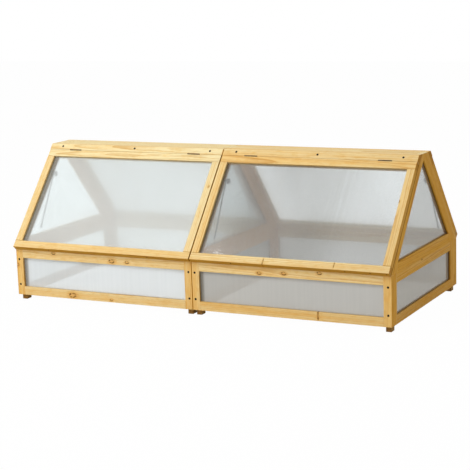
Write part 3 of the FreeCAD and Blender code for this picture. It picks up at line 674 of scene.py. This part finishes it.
def hinge_edge(points, work, edge):
    """The two hinge recesses in one long edge, the one nearer to the edge's end first."""
    start = abs(points[edge, 0])
    for spot in (HINGE_AT, -HINGE_AT):
        points, work = grooved(points, work, edge, start + spot - HINGE_HALF,
                               start + spot + HINGE_HALF, RECESS)
    return points, work


low_y, top_y = slope_y(THICK, RIDGE_TOP - BEAM_DEEP), slope_y(THICK, RIDGE_TOP)
beam_section = np.array([(low_y, RIDGE_TOP - BEAM_DEEP), (-low_y, RIDGE_TOP - BEAM_DEEP),
                         (-top_y, RIDGE_TOP), (top_y, RIDGE_TOP)])
for module, centre in MODULES.items():
    beam = batten(beam_section, np.zeros(4), centre * X, Y, Z, thick=BEAM_LONG, along=X,
                  through=Z, pale=BEAM_PALE[module])
    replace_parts(joinery(f"{module}_beam", [beam], "frame", timber),
                f"{module}_ridge_beam")
    strips = []
    for side in ("front", "rear"):
        origin, u, v, n = slope_frame(centre, side)
        ends = [-HALF_WIDE, HALF_WIDE]
        ends[seam_last(module, side)] *= 1 - SEAM / (2 * HALF_WIDE)
        points, work = rectangle(*ends, -STRIP_WIDE, 0.0)
        work[2] = SLANTED
        points, work = hinge_edge(points, work, 0)
        painted_edge_shading = np.zeros(len(points))
        painted_edge_shading[[-3, -1]] = STRIP_END_SHADE
        strips.append(batten(points, work, origin - n * THICK / 2, u, v,
                             pale=STRIP_PALE[module], painted_edge_shading=painted_edge_shading))
    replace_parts(joinery(f"{module}_strips", strips, "frame", timber),
                f"{module}_ridge_strips")

# Feet: eight small blocks of darker offcut, 24 by 34 mm and 24 mm high, nailed under the corners
# so that the battens stand clear of wet ground.
FOOT_WIDE, FOOT_LONG, FOOT_HIGH = 0.024, 0.034, 0.024
FOOT_X, FOOT_Y = 0.429, 0.375
foot_timber = timber_finish("foot_offcuts", (0.40, 0.235, 0.065), (0.52, 0.355, 0.13), 0.6)
foot_outline = softened(*rectangle(-FOOT_WIDE / 2, FOOT_WIDE / 2, -FOOT_LONG / 2, FOOT_LONG / 2),
                        range(4))
blocks = [batten(*foot_outline, np.array([centre + x, y, FOOT_HIGH / 2]), X, Y,
                 thick=FOOT_HIGH, along=Y)
          for centre in MODULES.values() for x in (-FOOT_X, FOOT_X) for y in (-FOOT_Y, FOOT_Y)]
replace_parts(joinery("foot_blocks", blocks, "frame", foot_timber), "feet")

# Screws: countersunk, 9 mm heads with a cross slot, two in each corner post's face and three
# through each ridge strip. Their browned heads show as small dark dots.
HEAD_RADIUS, HEAD_RISE, HEAD_SINK, HEAD_SLOT = 0.0050, 0.0012, 0.0012, 0.0006
HEAD_SIDES, HEAD_TURN = 32, 2.4
POST_SCREW_X, POST_SCREWS_UP = 0.435, (0.048, 0.163)
RIDGE_SCREWS, RIDGE_SCREW_DOWN = (-0.385, 0.0, 0.385), 0.013


def metal_finish(name, bright, dull, rough, metal):
    """Metal whose colour and roughness wander between a brighter and a duller state."""
    material, tree, shader = new_finish(name)
    place = put(tree, "TexCoord").outputs["Object"]
    patch = cloudy(tree, place, (150.0, 150.0, 150.0), 3.0)
    speck = cloudy(tree, place, (900.0, 900.0, 900.0))
    mixed = calc(tree, "ADD", calc(tree, "MULTIPLY", patch, 0.7),
                 calc(tree, "MULTIPLY", speck, 0.3))
    mixed = spread(tree, mixed, 0.35, 0.65)
    tree.links.new(tint(tree, mixed, bright, dull), shader.inputs["Base Color"])
    tree.links.new(spread(tree, mixed, 0.0, 1.0, rough, rough + 0.2), shader.inputs["Roughness"])
    roughened(tree, shader, speck, 0.15, 0.0001)
    shader.inputs["Metallic"].default_value = metal
    shader.inputs["Specular IOR Level"].default_value = 0.1
    return material


browned = metal_finish("browned_screws", (0.016, 0.010, 0.007), (0.006, 0.004, 0.003), 0.6, 0.0)


def heads(name, places, radius, slot_depth, body):
    """Domed heads on a grid of rings and angles: height = rise (1 - (r/R)^2), less a cross slot
    whose depth fades where the smaller of |x| and |y| passes half its width. The rim turns down
    into the wood."""
    out = np.array([0.04, 0.12, 0.2, 0.3, 0.42, 0.56, 0.7, 0.85, 0.96, 1.0, 1.0])
    angle = np.arange(HEAD_SIDES) * 2 * math.pi / HEAD_SIDES
    r, a = np.meshgrid(out * radius, angle, indexing="ij")
    x, y = r * np.cos(a), r * np.sin(a)
    z = HEAD_RISE * (1 - (r / radius) ** 2)
    arm = np.clip(1.6 - np.minimum(abs(x), abs(y)) / (0.13 * radius), 0, 1)
    z = z - slot_depth * arm * np.clip((0.62 * radius - r) / (0.1 * radius), 0, 1)
    z[-1] = -HEAD_SINK
    dome = np.stack([x, y, z], axis=-1).reshape(-1, 3)
    count = len(dome)
    skin = bands(len(out), HEAD_SIDES).tolist()
    skin += [list(range(HEAD_SIDES)), list(range(count - 1, count - HEAD_SIDES - 1, -1))]
    corners, faces = [], []
    for number, (point, way) in enumerate(places):
        turned = Vector(way).to_track_quat("Z", "Y").to_matrix()
        spin = Matrix.Rotation(HEAD_TURN * number, 3, "Z")
        corners.append(dome @ np.array(turned @ spin).T + np.array(point))
        faces += [[corner + number * count for corner in face] for face in skin]
    mesh = bpy.data.meshes.new(name)
    mesh.from_pydata(np.concatenate(corners), [], faces)
    return settled(name, mesh, browned, 50, body)


corner_spots, ridge_spots = [], []
for centre in MODULES.values():
    for x in (-POST_SCREW_X, POST_SCREW_X):
        for up in POST_SCREWS_UP:
            corner_spots += [((centre + x, -HALF_DEEP, BOX_LOW + up), -Y),
                             ((centre + x, HALF_DEEP, BOX_LOW + up), Y)]
    for side in ("front", "rear"):
        origin, u, v, n = slope_frame(centre, side)
        ridge_spots += [(origin + x * u - RIDGE_SCREW_DOWN * v, n) for x in RIDGE_SCREWS]
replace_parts(heads("corner_screw_heads", corner_spots, HEAD_RADIUS, HEAD_SLOT, "frame"),
            "frame_screws")
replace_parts(heads("ridge_screw_heads", ridge_spots, HEAD_RADIUS, HEAD_SLOT, "frame"),
            "ridge_screws")

# Lids: four frames of the same pine with 34 mm rails across the full width and 35 mm stiles
# between them, nailed at the corners. The sheet slides in their grooves, and the lower rail hangs
# past the box. Edges that lie in a gap or underneath, and the free side edges, carry painted
# shade.
LID_HALF, LID_INNER, LID_RAIL = 0.4481, 0.4135, 0.034
LID_TOP, LID_TOP_IN, LID_LOW_IN = -0.0318, -0.0666, -0.52011
LID_LOW, SLIT = LID_LOW_IN - LID_RAIL, 0.0005
LID_GROOVE = LID_HALF - LID_INNER - GROOVE_DEEP, LID_HALF + LID_INNER + GROOVE_DEEP
# Painted shade on the lids' edges: the free sides, the seam gap, the underside and the stiles'
# ends.
FREE_SIDE_SHADE, SEAM_GAP_SHADE, UNDERSIDE_SHADE, STILE_END_SHADE = 0.1, 0.6, 0.45, 0.3
NAIL_RADIUS, NAIL_IN = 0.0028, 0.0105
LID_KNOTS = {
    ("left", "front", "stiles"): [(-0.0157, -0.1993, 0.5223, 0.0034)],
    ("right", "front", "stiles"): [(0.8641, -0.2183, 0.5001, 0.0036)],
    ("right", "front", "bottom"): [(0.3438, -0.4245, 0.2590, -0.0060),
                                   (0.6587, -0.4198, 0.2645, -0.0052)],
}
# Painted light in the lids' tones: the front frames are paler, most on the left lid's top rail, a
# painted sheen of the lamp on the left, and the rear lids' bottom rails are paler to paint light
# into their shaded inner faces.
LID_PALE = {("left", "front"): (0.95, 0.64, 0.66, 0.84),
            ("right", "front"): (0.54, 0.70, 0.6, 0.62)}
REAR_LID_PALE = (0.4, 0.9, 0.45, 0.4)
NAILS = {("left", "front"): (-0.2626, 0.2425),
         ("right", "front"): (-0.2541, 0.2577, 0.3659, 0.4360)}
REAR_NAILS = (-0.26, 0.25)
for module, centre in MODULES.items():
    for side in ("front", "rear"):
        lid = f"{module}_{side}_lid"
        origin, u, v, n = slope_frame(centre, side)
        plane = (origin - n * THICK / 2, u, v)
        pale = LID_PALE.get((module, side), REAR_LID_PALE)
        ends = (FREE_SIDE_SHADE, SEAM_GAP_SHADE)
        ends = ends if seam_last(module, side) else ends[::-1]

        points, work = rectangle(-LID_HALF, LID_HALF, LID_TOP_IN, LID_TOP)
        points, work = hinge_edge(points, work, 2)
        points, work = grooved(points, work, 0, *LID_GROOVE)
        painted_edge_shading = np.zeros(len(points))
        painted_edge_shading[[-1, 5]] = ends
        upper = batten(points, work, *plane, pale=pale[0], painted_edge_shading=painted_edge_shading)

        points, work = rectangle(-LID_HALF, LID_HALF, LID_LOW, LID_LOW_IN)
        points, work = grooved(points, work, 2, *LID_GROOVE)
        painted_edge_shading = np.zeros(len(points))
        painted_edge_shading[[-1, 1, 0]] = (*ends, UNDERSIDE_SHADE)
        lower = batten(points, work, *plane, pale=pale[1], painted_edge_shading=painted_edge_shading,
                       knots=LID_KNOTS.get((module, side, "bottom"), ()))

        points, work = rectangle(-LID_HALF, -LID_INNER, LID_LOW_IN + SLIT, LID_TOP_IN - SLIT)
        work[1] = GROOVE_DEEP
        painted_edge_shading = (STILE_END_SHADE, 0.0, STILE_END_SHADE)
        pair = [batten(points, work, *plane, along=v, pale=pale[2], painted_edge_shading=(*painted_edge_shading, ends[0])),
                batten(*mirrored(points, work), *plane, along=v, pale=pale[3],
                       painted_edge_shading=(*painted_edge_shading, ends[1]),
                       knots=LID_KNOTS.get((module, side, "stiles"), ()))]
        for part, battens in (("top_rail", [upper]), ("bottom_rail", [lower]), ("stiles", pair)):
            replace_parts(joinery(f"{lid}_{part}_batten", battens, lid, timber),
                        f"{lid}_{part}")
        refinish(f"{lid}_sheet", opal["lid" if side == "front" else "rear", module])
        nails = [(origin + x * u + LID_LOW * v - NAIL_IN * n, -v)
                 for x in NAILS.get((module, side), REAR_NAILS)]
        heads(f"{lid}_nails", nails, NAIL_RADIUS, 0.0, lid)

# Hinges: two small butt hinges to each lid, their leaves let into the gap and their barrels in
# the recesses, so that only a thin dark line of metal shows.
hinge_metal = metal_finish("hinge_steel", (0.20, 0.14, 0.08), (0.07, 0.045, 0.025), 0.42, 0.6)
refinish("hinge_fixed_leaves", hinge_metal)
refinish("hinge_pins", hinge_metal)
for module in MODULES:
    for side in ("front", "rear"):
        refinish(f"{module}_{side}_lid_hinge_leaves", hinge_metal)

# Stays: a dark steel rod in each half of the roof that swings on a bracket on the gable's inner
# face and props the lid. Its end is thicker and rounded, and a black nylon knob clamps it to the
# bracket.
KNOB_ALONG, KNOB_INWARD, KNOB_START, KNOB_SIDES = 0.134, 0.050, 0.0120, 48
stay_metal = metal_finish("stay_steel", (0.035, 0.035, 0.035), (0.015, 0.015, 0.015), 0.4, 0.3)
nylon = metal_finish("knob_nylon", (0.02, 0.02, 0.02), (0.012, 0.012, 0.012), 0.45, 0.0)


def knobs(name, places):
    """Moulded knobs: a profile of radii carried along each axis. Eight shallow scallops follow
    radius (1 - 0.04 (1 + cos 8a)), and both ends are closed flat."""
    height = np.array([0.0, 0.0010, 0.0026, 0.0074, 0.0096, 0.0112, 0.0120])
    radius = np.array([0.0085, 0.0108, 0.0125, 0.0128, 0.0120, 0.0098, 0.0050])
    angle = np.arange(KNOB_SIDES) * 2 * math.pi / KNOB_SIDES
    around = radius[:, None] * (1 - 0.04 * (1 + np.cos(8 * angle)))
    count = len(height) * KNOB_SIDES
    skin = bands(len(height), KNOB_SIDES)[:, [0, 3, 2, 1]].tolist()
    skin += [list(range(KNOB_SIDES - 1, -1, -1)), list(range(count - KNOB_SIDES, count))]
    corners = [(start + height[:, None, None] * u + (around * np.cos(angle))[..., None] * v
                + (around * np.sin(angle))[..., None] * n).reshape(-1, 3)
               for start, u, v, n in places]
    faces = [[corner + number * count for corner in face]
             for number in range(len(places)) for face in skin]
    mesh = bpy.data.meshes.new(name)
    mesh.from_pydata(np.concatenate(corners), [], faces)
    settled(name, mesh, nylon, 50, "frame")


refinish("stay_brackets", stay_metal)
pivots = []
for module, centre in MODULES.items():
    for side in ("front", "rear"):
        refinish(f"{module}_{side}_stay_rod", stay_metal)
        origin, u, v, n = slope_frame(centre, side)
        aside = THICK - HALF_WIDE + KNOB_START
        pivots.append((origin + aside * u - KNOB_ALONG * v - KNOB_INWARD * n, u, v, n))
knobs("stay_knobs", pivots)

# The studio: a pale floor that runs into a white surround, a large soft lamp in front on the left
# and above, weaker ones in front and behind, and a camera in front on the right. The floor keeps
# only a faint shadow.
FLOOR_HALF, FLOOR_LOW, FLOOR_WHITE = 14, -0.0005, 0.985
LAMPS = {"soft_lamp": (2.0, 140, (-0.35, -0.62, 0.70)),
         "front_fill": (4.0, 24, (-0.2, -0.95, 0.2)),
         "back_lamp": (3.0, 46, (0.25, 0.52, 0.82))}
LAMPS_TO, LAMPS_AWAY = Vector((0.0, -0.1, 0.35)), 5.0
CAMERA_AT, YAW, PITCH, ROLL = Vector((2.8286, -5.5222, 1.4603)), 0.4729, -0.1892, -0.0333
SENSOR, FOCAL_PIXELS, PHOTO_PIXELS = 36, 1409.76, 470


def seen_plainly(tree):
    """1 for rays from the camera, also by way of metal or a clear sheet, and 0 for all others."""
    path = put(tree, "LightPath").outputs
    by_way = calc(tree, "MAXIMUM", path["Is Glossy Ray"], path["Is Transmission Ray"])
    return calc(tree, "MAXIMUM", path["Is Camera Ray"], by_way)


floor_mesh = bpy.data.meshes.new("studio_floor")
floor_corners = [(x * FLOOR_HALF, y * FLOOR_HALF, FLOOR_LOW)
                 for x, y in ((-1, -1), (1, -1), (1, 1), (-1, 1))]
floor_mesh.from_pydata(floor_corners, [], [(0, 1, 2, 3)])
floor = bpy.data.objects.new("studio_floor", floor_mesh)
bpy.context.scene.collection.objects.link(floor)
material, tree, shader = new_finish("pale_floor")
shader.inputs["Base Color"].default_value = (0.8, 0.8, 0.8, 1)
shader.inputs["Roughness"].default_value = 0.9
white = put(tree, "Emission", (1, 1, 1, 1), 1.0).outputs[0]
mixed = put(tree, "MixShader", calc(tree, "MULTIPLY", seen_plainly(tree), FLOOR_WHITE),
            shader.outputs[0], white).outputs[0]
tree.links.new(mixed, tree.nodes["Material Output"].inputs["Surface"])
floor_mesh.materials.append(material)

world = bpy.data.worlds.new("surround")
bpy.context.scene.world = world
world.use_nodes = True
tree = world.node_tree
seen = seen_plainly(tree)
surround = tree.nodes["Background"].inputs
tree.links.new(spread(tree, seen, 0.0, 1.0, 0.38, 1.0), surround["Strength"])
tree.links.new(tint(tree, seen, (1.0, 0.95, 0.86), (1.0, 1.0, 1.0)), surround["Color"])

for name, (size, energy, way) in LAMPS.items():
    lamp = bpy.data.lights.new(name, "AREA")
    lamp.shape = "SQUARE"
    lamp.size = size
    lamp.energy = energy
    lamp_stand = bpy.data.objects.new(name, lamp)
    bpy.context.scene.collection.objects.link(lamp_stand)
    way = Vector(way).normalized()
    lamp_stand.location = LAMPS_TO + way * LAMPS_AWAY
    lamp_stand.rotation_euler = way.to_track_quat("Z", "Y").to_euler()

forward = Vector((-math.sin(YAW) * math.cos(PITCH), math.cos(YAW) * math.cos(PITCH),
                  math.sin(PITCH)))
level = Vector((math.cos(YAW), math.sin(YAW), 0))
rise = level.cross(forward)
right = math.cos(ROLL) * level + math.sin(ROLL) * rise
upward = -math.sin(ROLL) * level + math.cos(ROLL) * rise
camera = bpy.data.cameras.new("camera")
camera.sensor_width = SENSOR
camera.lens = SENSOR * FOCAL_PIXELS / PHOTO_PIXELS
tripod = bpy.data.objects.new("camera", camera)
bpy.context.scene.collection.objects.link(tripod)
view = Matrix((right, upward, -forward)).transposed().to_4x4()
view.translation = CAMERA_AT
tripod.matrix_world = view
bpy.context.scene.camera = tripod
bpy.context.scene.view_settings.view_transform = "Standard"
